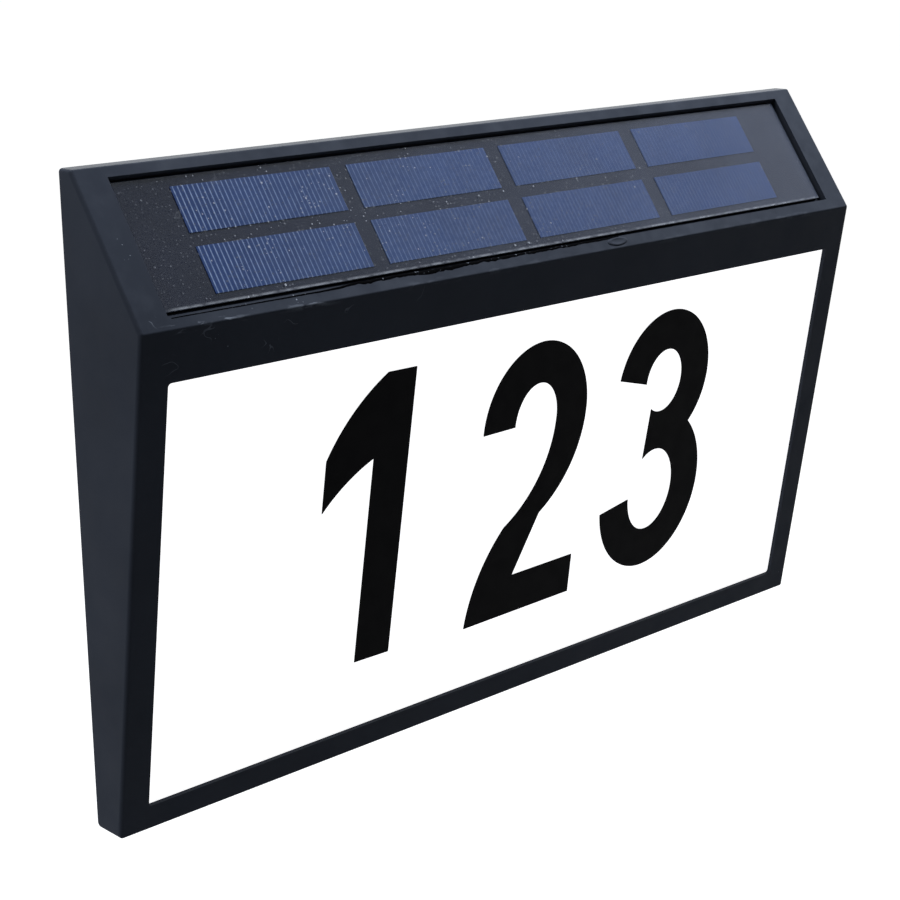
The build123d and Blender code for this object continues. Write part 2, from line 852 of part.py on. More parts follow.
board_screw = pan_head_screw(
    board_screw_radius, board_screw_head_radius, board_screw_head, board_screw_length
)
with BuildPart() as board_screws:
    with Locations(
        *[
            Location(Plane(origin=(x, -board_front, z), x_dir=(1, 0, 0), z_dir=(0, -1, 0)))
            for x, z in board_posts
        ]
    ):
        add(board_screw)
finish(board_screws, "board_screws")

# Switch and button
flange_top = cover_thickness + button_seal_thickness + button_seal_gap
flange_foot = flange_top + button_flange
switch_top = flange_foot + button_travel + switch_room
plunger_foot = flange_foot + plunger_length

with BuildPart() as push_switch:
    with BuildSketch(back.offset(switch_top)):
        with Locations((board_x, board_z)):
            Rectangle(switch_size, switch_size)
    extrude(amount=board_depth - switch_top)
    with BuildSketch(back.offset(switch_top)):
        with Locations((board_x, board_z)):
            Circle(plunger_radius + plunger_play)
    extrude(amount=plunger_foot + button_travel + plunger_end_room - switch_top, mode=Mode.SUBTRACT)
finish(push_switch, "push_switch")

with BuildPart() as switch_plunger:
    with BuildSketch(back.offset(flange_foot)):
        with Locations((board_x, board_z)):
            Circle(plunger_radius)
    extrude(amount=plunger_length)
finish(switch_plunger, "switch_plunger")

with BuildPart() as mode_button:
    with BuildSketch(back.offset(button_sink)):
        with Locations((board_x, board_z)):
            Circle(button_radius)
    extrude(amount=flange_foot - button_sink)
    chamfer(mode_button.edges().group_by(Axis.Y)[-1], button_edge)
    with BuildSketch(back.offset(flange_top)):
        with Locations((board_x, board_z)):
            Circle(button_radius + button_flange_overlap)
    extrude(amount=button_flange)
    with BuildSketch(back.offset(button_sink)):
        with Locations((board_x, board_z)):
            Circle(dimple_radius)
    extrude(amount=dimple_depth, mode=Mode.SUBTRACT)
finish(mode_button, "mode_button")

with BuildPart() as button_seal:
    with BuildSketch(back.offset(cover_thickness)):
        with Locations((board_x, board_z)):
            Circle(button_radius + button_play + button_seal_width)
            Circle(button_radius + button_play, mode=Mode.SUBTRACT)
    extrude(amount=button_seal_thickness)
finish(button_seal, "button_seal")


# Leads: pairs of thin wires, each a tube along straight runs joined by arcs
def bend_radii(points):
    """As large an arc at each corner as the shorter of its two runs allows."""
    radii = []
    for before, here, after in zip(points, points[1:], points[2:]):
        run_in = Vector(here) - Vector(before)
        run_out = Vector(after) - Vector(here)
        turn = radians(run_in.get_angle(run_out))
        radii.append(bend_share * min(run_in.length, run_out.length) / tan(turn / 2))
    return radii


def lead(points):
    """One thin wire along the points."""
    radii = bend_radii(points)
    with BuildPart() as wire:
        with BuildLine():
            route = FilletPolyline(*points, radius=radii)
        with BuildSketch(Plane(origin=route @ 0, z_dir=route % 0)):
            RegularPolygon(lead_radius, lead_sides)
        sweep(path=route)
    print(f"lead: {route.length:.1f} mm, least bend {min(radii):.1f} mm")
    return wire.part


def lead_pair(name, routes):
    """Two wires in one node."""
    with BuildPart() as pair:
        for points in routes:
            add(lead(points))
    finish(pair, name)


solar_back = solar_seal_thickness - recess_depth
shifts = (-lead_pitch / 2, lead_pitch / 2)


def solar_route(shift):
    """From the solar board's back, through the floor, to its plug."""
    plug_z = board_z + solar_plug_rise + shift
    return [
        solar.from_local_coords((solar_lead_x, solar_lead_y + shift, solar_back)),
        solar.from_local_coords((solar_lead_x, solar_lead_y + shift, solar_back - lead_out)),
        (right_edge + solar_lead_in, -plug_depth, plug_z),
        (right_edge, -plug_depth, plug_z),
    ]


def lamp_route(shift):
    """From the lamps' board up to its plug."""
    plug_z = board_z + lamp_plug_rise + shift
    return [
        (lamp_lead_x + shift, led_board_y, tray_top + led_board_thickness),
        (lamp_lead_x + shift, led_board_y, plug_z - lead_pitch / 2),
        (right_edge + lead_in, -plug_depth, plug_z),
        (right_edge, -plug_depth, plug_z),
    ]


tab_end = bay_length / 2 + bay_wall + contact_tab
battery_plug_z = board_z + battery_plug_rise
over_bay = battery_z + bay_radius + bay_wall + bay_lead_room
near_route = [
    (battery_x + tab_end, battery_y, battery_z),
    (battery_x + tab_end + lead_out, battery_y, battery_z),
    (left_edge - lead_in, -plug_depth, battery_plug_z + shifts[0]),
    (left_edge, -plug_depth, battery_plug_z + shifts[0]),
]
far_route = [
    (battery_x - tab_end, battery_y, battery_z),
    (battery_x - tab_end - lead_out, battery_y, battery_z),
    (battery_x - tab_end - far_loop, battery_y, (battery_z + over_bay) / 2),
    (battery_x - tab_end, battery_y, over_bay),
    (left_edge - far_drop, battery_y, over_bay),
    (left_edge - lead_in, -plug_depth, battery_plug_z + shifts[1]),
    (left_edge, -plug_depth, battery_plug_z + shifts[1]),
]
lead_pair("solar_leads", [solar_route(shift) for shift in shifts])
lead_pair("led_leads", [lamp_route(shift) for shift in shifts])
lead_pair("battery_leads", [near_route, far_route])
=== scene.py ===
"""Looks of the illuminated house number sign: finishes, fine surface detail, light and camera.

Lengths are in metres. X runs along the sign, Z is up and the front looks towards -Y.
"""

import random
from math import cos, pi, sin

import bmesh
import bpy
from mathutils import Matrix, Vector


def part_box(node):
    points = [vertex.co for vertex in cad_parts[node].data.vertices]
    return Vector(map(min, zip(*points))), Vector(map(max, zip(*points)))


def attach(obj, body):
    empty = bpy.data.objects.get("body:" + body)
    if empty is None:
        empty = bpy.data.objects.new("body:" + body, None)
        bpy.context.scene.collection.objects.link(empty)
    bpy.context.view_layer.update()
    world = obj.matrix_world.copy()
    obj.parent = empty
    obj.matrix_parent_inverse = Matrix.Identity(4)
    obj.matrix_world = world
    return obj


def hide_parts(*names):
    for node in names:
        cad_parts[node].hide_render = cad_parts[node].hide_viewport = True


MM = 0.001
NEAR_BROW = 0.2 * MM  # how far behind the foremost line a point still counts as on the brow

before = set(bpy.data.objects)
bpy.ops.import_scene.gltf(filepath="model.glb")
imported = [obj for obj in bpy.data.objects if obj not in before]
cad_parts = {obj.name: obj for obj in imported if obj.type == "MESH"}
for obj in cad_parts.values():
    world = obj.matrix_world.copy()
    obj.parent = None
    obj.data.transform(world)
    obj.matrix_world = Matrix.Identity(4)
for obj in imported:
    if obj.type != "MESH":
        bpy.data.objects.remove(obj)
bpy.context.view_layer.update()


# ---------------------------------------------------------------- places on the sign
def slope_axes():
    """The solar face's own axes: along the sign, up the slope and out of it."""
    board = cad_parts["solar_board"].data
    upper_face = max(board.polygons, key=lambda face: face.area * face.normal.z)
    along = Vector((1, 0, 0))
    out = upper_face.normal.normalized()
    return along, out.cross(along), out


def extent(node, axis):
    """Lowest and highest place of a CAD node along an axis."""
    places = [vertex.co.dot(axis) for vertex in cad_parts[node].data.vertices]
    return min(places), max(places)


along, up_slope, out_of_slope = slope_axes()
slope_level = extent("housing", out_of_slope)[1]
board_foot = extent("solar_board", up_slope)[0]
film_foot = extent("solar_film", up_slope)[0]
cells_left = extent("solar_cells", along)[0]
sign_low, sign_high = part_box("housing")
brow_y = sign_low.y
brow_z = max(
    vertex.co.z
    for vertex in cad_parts["housing"].data.vertices
    if vertex.co.y < brow_y + NEAR_BROW
)


# ---------------------------------------------------------------- material builder
class Finish:
    """A material under construction: one Principled shader and the textures that feed it."""

    def __init__(self, name, colour, roughness, specular, metallic=0.0):
        self.material = bpy.data.materials.new(name)
        self.material.use_nodes = True
        self.nodes = self.material.node_tree.nodes
        self.links = self.material.node_tree.links
        self.shader = self.nodes["Principled BSDF"]
        self.shader.inputs["Base Color"].default_value = (*colour, 1)
        self.shader.inputs["Roughness"].default_value = roughness
        self.shader.inputs["Specular IOR Level"].default_value = specular
        self.shader.inputs["Metallic"].default_value = metallic
        self.colour = tuple(colour)
        self.place = self.nodes.new("ShaderNodeTexCoord").outputs["Object"]

    def feed(self, socket, value):
        """Puts a number, a colour or another socket into a socket."""
        if isinstance(value, bpy.types.NodeSocket):
            self.links.new(value, socket)
        elif isinstance(value, (int, float)):
            socket.default_value = value
        elif len(value) == 3 and len(socket.default_value) == 4:
            socket.default_value = (*value, 1)
        else:
            socket.default_value = value

    def maths(self, operation, first, second=0.0):
        """One step of arithmetic on numbers or sockets."""
        node = self.nodes.new("ShaderNodeMath")
        node.operation = operation
        self.feed(node.inputs[0], first)
        self.feed(node.inputs[1], second)
        return node.outputs[0]

    def times(self, *factors):
        """The product of the factors."""
        product = factors[0]
        for factor in factors[1:]:
            product = self.maths("MULTIPLY", product, factor)
        return product

    def most(self, *values):
        """The largest of the values."""
        largest = values[0]
        for value in values[1:]:
            largest = self.maths("MAXIMUM", largest, value)
        return largest

    def stretch(self, scale):
        """Object coordinates times a scale for each axis."""
        node = self.nodes.new("ShaderNodeMapping")
        self.feed(node.inputs["Vector"], self.place)
        self.feed(node.inputs["Scale"], scale)
        return node.outputs[0]

    def distance_along(self, axis):
        """Place along an axis of the sign, in metres."""
        node = self.nodes.new("ShaderNodeVectorMath")
        node.operation = "DOT_PRODUCT"
        self.feed(node.inputs[0], self.place)
        self.feed(node.inputs[1], tuple(axis))
        return node.outputs["Value"]

    def noise(self, grain, detail=3.0, place=None, distortion=0.0):
        """Noise whose blobs are about grain metres wide."""
        node = self.nodes.new("ShaderNodeTexNoise")
        self.feed(node.inputs["Vector"], place or self.place)
        self.feed(node.inputs["Scale"], 1 / grain)
        self.feed(node.inputs["Detail"], detail)
        self.feed(node.inputs["Distortion"], distortion)
        return node.outputs["Fac"]

    def ramp(self, value, low, high, start=0.0, end=1.0):
        """Maps low...high to start...end and holds the ends."""
        node = self.nodes.new("ShaderNodeMapRange")
        for name, amount in (
            ("Value", value),
            ("From Min", low),
            ("From Max", high),
            ("To Min", start),
            ("To Max", end),
        ):
            self.feed(node.inputs[name], amount)
        return node.outputs[0]

    def on_the_slope(self):
        """Flat coordinates on the solar face: along the sign and up the slope."""
        node = self.nodes.new("ShaderNodeCombineXYZ")
        self.feed(node.inputs[0], self.distance_along(along))
        self.feed(node.inputs[1], self.distance_along(up_slope))
        return node.outputs[0]

    def specks(self, spacing, radius, share, flat_place=None):
        """Round dots, one to a cell of the given spacing, in a share of the cells."""
        node = self.nodes.new("ShaderNodeTexVoronoi")
        node.voronoi_dimensions = "2D" if flat_place else "3D"
        self.feed(node.inputs["Vector"], flat_place or self.place)
        self.feed(node.inputs["Scale"], 1 / spacing)
        pick = self.nodes.new("ShaderNodeSeparateColor")
        self.links.new(node.outputs["Color"], pick.inputs[0])
        size = self.maths("MULTIPLY", pick.outputs[1], radius / spacing)
        dot = self.maths("LESS_THAN", node.outputs["Distance"], size)
        chosen = self.maths("LESS_THAN", pick.outputs[0], share)
        return self.times(dot, chosen)

    def fibres(self, grain, width, share, curl):
        """Thin lines, straight or curly, broken up so that short ones are left."""
        field = self.noise(grain, detail=1.0, distortion=curl)
        centred = self.maths("ABSOLUTE", self.maths("SUBTRACT", field, 0.5))
        line = self.maths("LESS_THAN", centred, width / grain * 0.5)
        patch = self.maths("GREATER_THAN", self.noise(grain * 0.8, detail=0.0), 1 - share)
        return self.times(line, patch)

    def mix(self, factor, first, second):
        """A blend of two colours: the first at 0, the second at 1."""
        node = self.nodes.new("ShaderNodeMix")
        node.data_type = "RGBA"
        self.feed(node.inputs["Factor"], factor)
        self.feed(node.inputs["A"], first)
        self.feed(node.inputs["B"], second)
        return node.outputs["Result"]

    def paint(self, colour):
        self.feed(self.shader.inputs["Base Color"], colour)

    def set_roughness(self, value):
        self.feed(self.shader.inputs["Roughness"], value)

    def bump(self, height, depth, strength):
        """A relief whose full range of height is depth metres."""
        node = self.nodes.new("ShaderNodeBump")
        self.feed(node.inputs["Height"], height)
        self.feed(node.inputs["Distance"], depth)
        self.feed(node.inputs["Strength"], strength)
        self.links.new(node.outputs[0], self.shader.inputs["Normal"])

    def facing(self, direction, low, high):
        """0 to 1 as the true surface turns towards a direction; low and high are cosines."""
        node = self.nodes.new("ShaderNodeVectorMath")
        node.operation = "DOT_PRODUCT"
        geometry = self.nodes.new("ShaderNodeNewGeometry")
        self.links.new(geometry.outputs["True Normal"], node.inputs[0])
        self.feed(node.inputs[1], tuple(direction))
        return self.ramp(node.outputs["Value"], low, high)

    def near(self, places, radius):
        """1 at any of the places, falling to 0 at the radius."""
        nearest = None
        for place in places:
            node = self.nodes.new("ShaderNodeVectorMath")
            node.operation = "DISTANCE"
            self.feed(node.inputs[0], self.place)
            self.feed(node.inputs[1], tuple(coordinate * MM for coordinate in place))
            away = node.outputs["Value"]
            nearest = self.maths("MINIMUM", nearest, away) if nearest else away
        return self.ramp(nearest, 0.35 * radius, radius, 1.0, 0.0)


def shade(colour, factor):
    """The same colour, lighter or darker."""
    return tuple(channel * factor for channel in colour)


def mottled(finish, blobs, spread):
    """The finish's own colour, drifting a little lighter and darker over the surface."""
    drift = finish.ramp(finish.noise(blobs, detail=4.0), 0.3, 0.7)
    return finish.mix(drift, shade(finish.colour, 1 - spread), shade(finish.colour, 1 + spread))


# ---------------------------------------------------------------- finishes of the plastics
# bluish grey of real dust, also used as painted light from above on upward faces and the slope
DUST_AND_SKYLIGHT = (0.27, 0.30, 0.36)
# lighter grey of the flat top: a dusting and painted sky light
TOP_DUST_AND_SKYLIGHT = (0.25, 0.245, 0.23)
BLACK_PLASTIC = (0.0250, 0.0290, 0.0390)
UPWARD = (0, 0, 1)
REARWARD = (0, 1, 0)


def moulded_plastic(name, colour, roughness=0.5, specular=0.02, dust_and_light=0.5):
    """Injection-moulded plastic: fine grain, uneven gloss, and on its upward faces a dusting with
    painted light from above.
    """
    finish = Finish(name, colour, roughness, specular)
    base = mottled(finish, 35 * MM, 0.12)
    # upward faces: a dusting and painted light from above, lighter the more they face up
    upward_dust_and_light = finish.times(
        finish.facing(UPWARD, 0.2, 0.9),
        finish.ramp(finish.noise(6 * MM, detail=6.0), 0.45, 0.8, 0.0, 0.10 * dust_and_light),
    )
    dusted_and_lit = finish.mix(upward_dust_and_light, base, DUST_AND_SKYLIGHT)
    spots = finish.times(finish.specks(4.5 * MM, 0.4 * MM, 0.2 * dust_and_light), 0.3)
    finish.paint(finish.mix(spots, dusted_and_lit, DUST_AND_SKYLIGHT))
    finish.set_roughness(
        finish.ramp(finish.noise(9 * MM, detail=5.0), 0.3, 0.7, roughness - 0.07, roughness + 0.08)
    )
    finish.bump(finish.noise(0.45 * MM, detail=2.0), 0.02 * MM, 0.6)
    return finish


# places of marks on the housing, in millimetres
SCRATCHES = (
    (-122.5, -31.6, 48.8),
    (-96.1, -31.3, 46.8),
    (-102.9, -30.6, 42.6),
    (-78.0, -31.7, 49.7),
    (-53.0, -31.6, 49.3),
    (-133.6, -30.6, 42.0),
    (-110.6, -31.6, 51.6),
    (-139.3, -30.1, 53.6),
)
SPECK_CLUSTERS = (
    (-137.0, -18.6, 69.6),
    (-114.0, -29.6, 54.3),
    (-111.3, -29.7, 54.2),
    (-94.3, -30.4, 53.1),
    (-118.6, -31.1, 45.9),
)
SCRATCH_REACH = 3.0 * MM
CLUSTER_REACH = 4.0 * MM


def housing_finish():
    """The black shell: a dusting and painted sky light on its top and slope, rubbed along the
    crease, with scratches and specks of use.
    """
    finish = moulded_plastic("black_shell", BLACK_PLASTIC)
    base = finish.shader.inputs["Base Color"].links[0].from_socket
    # the flat top: a dusting and painted sky light make it lighter grey
    on_top = finish.times(
        finish.facing(UPWARD, 0.84, 0.96),
        finish.ramp(finish.distance_along(UPWARD), sign_high.z - 2 * MM, sign_high.z - 1 * MM),
    )
    top_dust_and_light = finish.ramp(finish.noise(9 * MM, detail=6.0), 0.3, 0.7, 0.16, 0.25)
    base = finish.mix(finish.times(on_top, top_dust_and_light), base, TOP_DUST_AND_SKYLIGHT)
    # bezel round the solar face: a thin dusting and painted light from above, fading out towards
    # the left end
    on_slope = finish.times(
        finish.facing(out_of_slope, 0.9, 0.99),
        finish.ramp(finish.distance_along(along), sign_low.x + 8 * MM, sign_low.x + 30 * MM),
    )
    slope_dust_and_light = finish.ramp(finish.noise(7 * MM, detail=6.0), 0.35, 0.65, 0.02, 0.05)
    base = finish.mix(finish.times(on_slope, slope_dust_and_light), base, DUST_AND_SKYLIGHT)
    behind_brow = finish.maths("SUBTRACT", finish.distance_along(REARWARD), brow_y)
    above_brow = finish.maths("SUBTRACT", finish.distance_along(UPWARD), brow_z)
    from_crease = finish.maths(
        "ADD", finish.maths("ABSOLUTE", behind_brow), finish.maths("ABSOLUTE", above_brow)
    )
    streaks = finish.noise(1.2 * MM, detail=3.0, place=finish.stretch((0.25, 1, 1)))
    rubbed = finish.times(
        finish.ramp(streaks, 0.53, 0.63),
        finish.ramp(from_crease, 0.4 * MM, 1.8 * MM, 1.0, 0.0),
        finish.ramp(finish.noise(28 * MM, detail=1.0), 0.4, 0.55),
        finish.ramp(finish.distance_along(along), sign_low.x, 0.2 * sign_low.x, 0.6, 0.06),
    )
    scratched = finish.times(
        finish.fibres(5 * MM, 0.11 * MM, 0.6, curl=0.2), finish.near(SCRATCHES, SCRATCH_REACH), 0.2
    )
    dotted = finish.times(
        finish.specks(1.1 * MM, 0.25 * MM, 0.6), finish.near(SPECK_CLUSTERS, CLUSTER_REACH), 0.7
    )
    finish.paint(finish.mix(finish.most(rubbed, scratched, dotted), base, DUST_AND_SKYLIGHT))
    return finish


DIFFUSER_WHITE = (0.86, 0.87, 0.88)
DIFFUSER_GREY = (0.80, 0.81, 0.82)


def panel_finish():
    """The white diffuser, lit from behind."""
    finish = Finish("lit_diffuser", DIFFUSER_WHITE, 0.35, 0.3)
    glow = finish.ramp(finish.noise(60 * MM, detail=2.0), 0.3, 0.7, 0.96, 1.0)
    finish.paint(finish.mix(glow, DIFFUSER_GREY, DIFFUSER_WHITE))
    finish.feed(finish.shader.inputs["Emission Color"], (1.0, 1.0, 1.0))
    finish.feed(finish.shader.inputs["Emission Strength"], glow)
    finish.bump(finish.noise(0.8 * MM, detail=2.0), 0.01 * MM, 0.3)
    return finish


def vinyl_finish():
    """Black stick-on film with a faint orange peel."""
    finish = Finish("black_vinyl", (0.0022, 0.0022, 0.0026), 0.55, 0.015)
    finish.paint(mottled(finish, 12 * MM, 0.15))
    finish.set_roughness(finish.ramp(finish.noise(5 * MM, detail=4.0), 0.3, 0.7, 0.48, 0.60))
    finish.bump(finish.noise(1.5 * MM, detail=2.0), 0.01 * MM, 0.3)
    return finish


# ---------------------------------------------------------------- solar panel
LAMINATE = (0.0042, 0.0052, 0.0105)
# painted shade: near-black for the board's edges, so the gap round it reads dark
GAP_SHADE_BLACK = (0.0006, 0.0006, 0.0008)
SILICON = (0.0045, 0.022, 0.092)
DARK_SILICON = (0.0034, 0.0165, 0.070)
LIGHT_SILICON = (0.0046, 0.0210, 0.086)
SILVER_PASTE = (0.22, 0.29, 0.43)
SHEEN = 0.32
SHEEN_TINT = (0.74, 0.84, 1.0)
SHEEN_ROUGHNESS = 0.22


def film_sheen(finish, patches):
    """The gleam of the clear film, carried by what lies under it."""
    finish.set_roughness(finish.ramp(finish.noise(patches), 0.3, 0.7, 0.20, 0.25))
    finish.feed(finish.shader.inputs["Specular Tint"], SHEEN_TINT)
    finish.bump(finish.noise(9 * MM, detail=2.0), 0.01 * MM, 0.3)
    return finish


def solar_base_finish():
    """Dark laminated board under the cells; its edges are painted near-black as the shade in the
    gap around the board.
    """
    finish = Finish("panel_board", LAMINATE, SHEEN_ROUGHNESS, SHEEN)
    upper_face = finish.facing(out_of_slope, 0.5, 0.9)
    # painted shade: every face but the upper one is near-black, as the shade in the gap round the
    # board
    finish.paint(finish.mix(upper_face, GAP_SHADE_BLACK, mottled(finish, 20 * MM, 0.25)))
    finish.feed(finish.shader.inputs["Specular IOR Level"], finish.ramp(upper_face, 0, 1, 0, SHEEN))
    return film_sheen(finish, 11 * MM)


FINGER_PITCH = 1.518 * MM
FINGER_WIDTH = 0.27 * MM
FINGER_SHARE = 0.20  # of the cell's area
FINGERS_CLEAR_TO = -110 * MM
FINGERS_FAINT_FROM = -30 * MM
FAINT_CONTRAST = 0.32


def solar_cell_finish():
    """Blue silicon with fine contact fingers that run up the slope."""
    finish = Finish("blue_cells", SILICON, SHEEN_ROUGHNESS, SHEEN)
    cloud = finish.ramp(finish.noise(14 * MM, detail=3.0), 0.3, 0.7)
    silicon = finish.mix(cloud, DARK_SILICON, LIGHT_SILICON)
    place = finish.distance_along(along)
    turn = finish.maths(
        "FRACT", finish.maths("DIVIDE", finish.maths("SUBTRACT", place, cells_left), FINGER_PITCH)
    )
    off_line = finish.maths("ABSOLUTE", finish.maths("SUBTRACT", turn, 0.5))
    half = FINGER_WIDTH / FINGER_PITCH / 2
    line = finish.ramp(off_line, 0.8 * half, 1.5 * half, 1.0, 0.0)
    contrast = finish.ramp(place, FINGERS_CLEAR_TO, FINGERS_FAINT_FROM, 1.0, FAINT_CONTRAST)
    off_mean = finish.maths("SUBTRACT", line, FINGER_SHARE)
    finger = finish.maths("ADD", finish.times(off_mean, contrast), FINGER_SHARE)
    broken = finish.ramp(finish.noise(1.6 * MM, detail=2.0), 0.35, 0.6, 0.55, 1.0)
    tarnish = finish.ramp(place, sign_low.x, sign_high.x, 0.75, 0.12)
    finish.paint(finish.mix(finish.times(finger, broken, tarnish), silicon, SILVER_PASTE))
    return film_sheen(finish, 7 * MM)


# share of the bluish veil, hazy and painted sky reflection, at either end of the sign
HAZE_AND_REFLECTION_LEFT = 0.006
HAZE_AND_REFLECTION_RIGHT = 0.15
FILM_HAZE_AND_SKY_REFLECTION = (0.25, 0.29, 0.40)
# light grey of specks and hairs, also the painted highlight along the film's lower rim
LIGHT_DUST_AND_RIM_HIGHLIGHT = (0.36, 0.38, 0.42)


def film_material():
    """Clear cover film: see-through; on its outer side a bluish, hazy veil with painted sky
    reflection that grows to the right, specks, hairs, and a dusting with a painted highlight along
    its lower rim.
    """
    finish = Finish("clear_film", FILM_HAZE_AND_SKY_REFLECTION, 0.9, 0.0)
    flat = finish.on_the_slope()
    place = finish.distance_along(along)
    to_the_right = finish.ramp(place, sign_low.x, sign_high.x)
    patches = finish.ramp(finish.noise(30 * MM, detail=5.0), 0.35, 0.75, 0.75, 1.2)
    # hazy veil and painted sky reflection: thin at the left, strongest at the right
    haze_and_reflection = finish.times(patches, finish.ramp(to_the_right, 0.0, 1.0, HAZE_AND_REFLECTION_LEFT, HAZE_AND_REFLECTION_RIGHT))
    gathered = finish.ramp(finish.noise(8 * MM, detail=3.0), 0.42, 0.56, 0.4, 1.0)
    fine = finish.times(finish.specks(1.2 * MM, 0.25 * MM, 0.45, flat), gathered, 0.55)
    coarse = finish.times(finish.specks(6 * MM, 0.34 * MM, 0.4, flat), 0.75)
    over_cells = finish.ramp(place, cells_left - 4 * MM, cells_left + 6 * MM, 0.35, 1.0)
    fewer_right = finish.ramp(to_the_right, 0.2, 0.8, 1.0, 0.3)
    specks = finish.times(finish.most(fine, coarse), over_cells, fewer_right)
    hairs = finish.times(finish.fibres(14 * MM, 0.09 * MM, 0.4, curl=1.0), 0.05)
    # a light line along the film's lower rim: painted highlight of the film's edge, mixed with a
    # dusting
    from_foot = finish.maths("SUBTRACT", finish.distance_along(up_slope), film_foot)
    drift = finish.ramp(from_foot, 0.3 * MM, 0.8 * MM, 0.42, 0.0)
    rim_dust_and_highlight = finish.times(drift, finish.ramp(finish.noise(3 * MM, detail=6.0), 0.35, 0.6, 0.1, 1.0))
    marks = finish.most(specks, hairs, rim_dust_and_highlight)
    inner_side = finish.nodes.new("ShaderNodeNewGeometry").outputs["Backfacing"]
    outer_side = finish.maths("SUBTRACT", 1.0, inner_side)
    shader = finish.nodes.new("ShaderNodeBsdfTransparent")
    # two diffuse layers on the outer side: the hazy veil with painted sky reflection, then specks,
    # hairs and the painted rim highlight
    for amount, colour in ((haze_and_reflection, FILM_HAZE_AND_SKY_REFLECTION), (marks, LIGHT_DUST_AND_RIM_HIGHLIGHT)):
        dust_and_light = finish.nodes.new("ShaderNodeBsdfDiffuse")
        dust_and_light.inputs["Color"].default_value = (*colour, 1)
        layered = finish.nodes.new("ShaderNodeMixShader")
        finish.feed(layered.inputs[0], finish.times(amount, outer_side))
        finish.links.new(shader.outputs[0], layered.inputs[1])
        finish.links.new(dust_and_light.outputs[0], layered.inputs[2])
        shader = layered
    finish.links.new(shader.outputs[0], finish.nodes["Material Output"].inputs["Surface"])
    finish.nodes.remove(finish.shader)
    return finish


# ---------------------------------------------------------------- inner parts
def soft_finish(name, colour, cell, roughness=0.9):
    """Foam or rubber: matt, with small pores."""
    finish = Finish(name, colour, roughness, 0.1)
    pores = finish.specks(cell, 0.45 * cell, 0.8)
    # painted shade: the pores are darker, as the shade inside them
    finish.paint(finish.mix(pores, mottled(finish, 8 * MM, 0.15), shade(colour, 0.6)))
    finish.bump(pores, -0.1 * MM, 0.5)
    return finish


def sealant_and_gap_shade_finish():
    """Black rubbery sealant with a faint gleam in places; its near-black colour also stands in as
    painted shade of the gap and groove under the solar panel.
    """
    # near-black: the sealant's own colour, and also painted shade of the gap and groove it lies in
    finish = Finish("black_sealant_and_gap_shade", (0.0010, 0.0011, 0.0015), 0.5, 0.01)
    lint = finish.times(finish.specks(0.9 * MM, 0.3 * MM, 0.35), 0.3)
    finish.paint(finish.mix(lint, mottled(finish, 4 * MM, 0.3), DUST_AND_SKYLIGHT))
    finish.set_roughness(finish.ramp(finish.noise(2 * MM, detail=4.0), 0.35, 0.65, 0.3, 0.65))
    finish.bump(finish.noise(0.8 * MM, detail=4.0), 0.08 * MM, 0.8)
    return finish


def circuit_finish(name, mask, metal):
    """A circuit board: solder mask, tracks and small pads."""
    finish = Finish(name, mask, 0.35, 0.45)
    contours = finish.noise(6 * MM, detail=0.0, place=finish.stretch((1, 0.02, 0.25)))
    track = finish.maths("GREATER_THAN", finish.maths("FRACT", finish.times(contours, 9.0)), 0.72)
    pads = finish.specks(3.2 * MM, 0.9 * MM, 0.35)
    masked = finish.mix(finish.times(track, 0.5), mottled(finish, 10 * MM, 0.1), shade(mask, 1.5))
    finish.paint(finish.mix(pads, masked, metal))
    finish.bump(track, 0.03 * MM, 0.5)
    return finish


LAMP_BODY = (0.85, 0.84, 0.78)
PHOSPHOR = (0.95, 0.80, 0.30)


def lamp_finish():
    """White lamp body that shades into yellow phosphor, lit."""
    finish = Finish("lamp_body", LAMP_BODY, 0.35, 0.4)
    phosphor = finish.ramp(finish.noise(1.5 * MM), 0.3, 0.7, 0.7, 1.0)
    finish.paint(finish.mix(phosphor, LAMP_BODY, PHOSPHOR))
    finish.feed(finish.shader.inputs["Emission Color"], (1.0, 0.98, 0.94))
    finish.feed(finish.shader.inputs["Emission Strength"], 1.0)
    return finish


def component_finish():
    """Black moulded chip, coil and plug bodies."""
    finish = Finish("component_body", (0.02, 0.02, 0.022), 0.55, 0.3)
    finish.paint(mottled(finish, 3 * MM, 0.3))
    finish.bump(finish.noise(0.3 * MM), 0.02 * MM, 0.5)
    return finish


def steel_finish(name, colour, roughness):
    """Plated steel with turning marks and dull spots."""
    finish = Finish(name, colour, roughness, 0.5, metallic=1.0)
    dull = finish.ramp(finish.noise(0.8 * MM, detail=4.0), 0.4, 0.7)
    finish.paint(finish.mix(dull, colour, shade(colour, 0.75)))
    finish.set_roughness(finish.ramp(dull, 0, 1, roughness, roughness + 0.15))
    finish.bump(finish.noise(0.25 * MM, place=finish.stretch((1, 1, 6))), 0.01 * MM, 0.4)
    return finish


BARE_END = 2.2 * MM  # length of the battery's end that its sleeve leaves bare
BARE_STEEL = (0.6, 0.6, 0.58)


def battery_finish():
    """Shrink sleeve in one plain colour, with a bare metal end."""
    finish = Finish("cell_sleeve", (0.05, 0.14, 0.07), 0.3, 0.45)
    battery_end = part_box("battery")[1].x
    end_cap = finish.maths("GREATER_THAN", finish.distance_along(along), battery_end - BARE_END)
    finish.paint(finish.mix(end_cap, mottled(finish, 15 * MM, 0.12), BARE_STEEL))
    finish.feed(finish.shader.inputs["Metallic"], end_cap)
    finish.bump(finish.noise(4 * MM), 0.05 * MM, 0.3)
    return finish


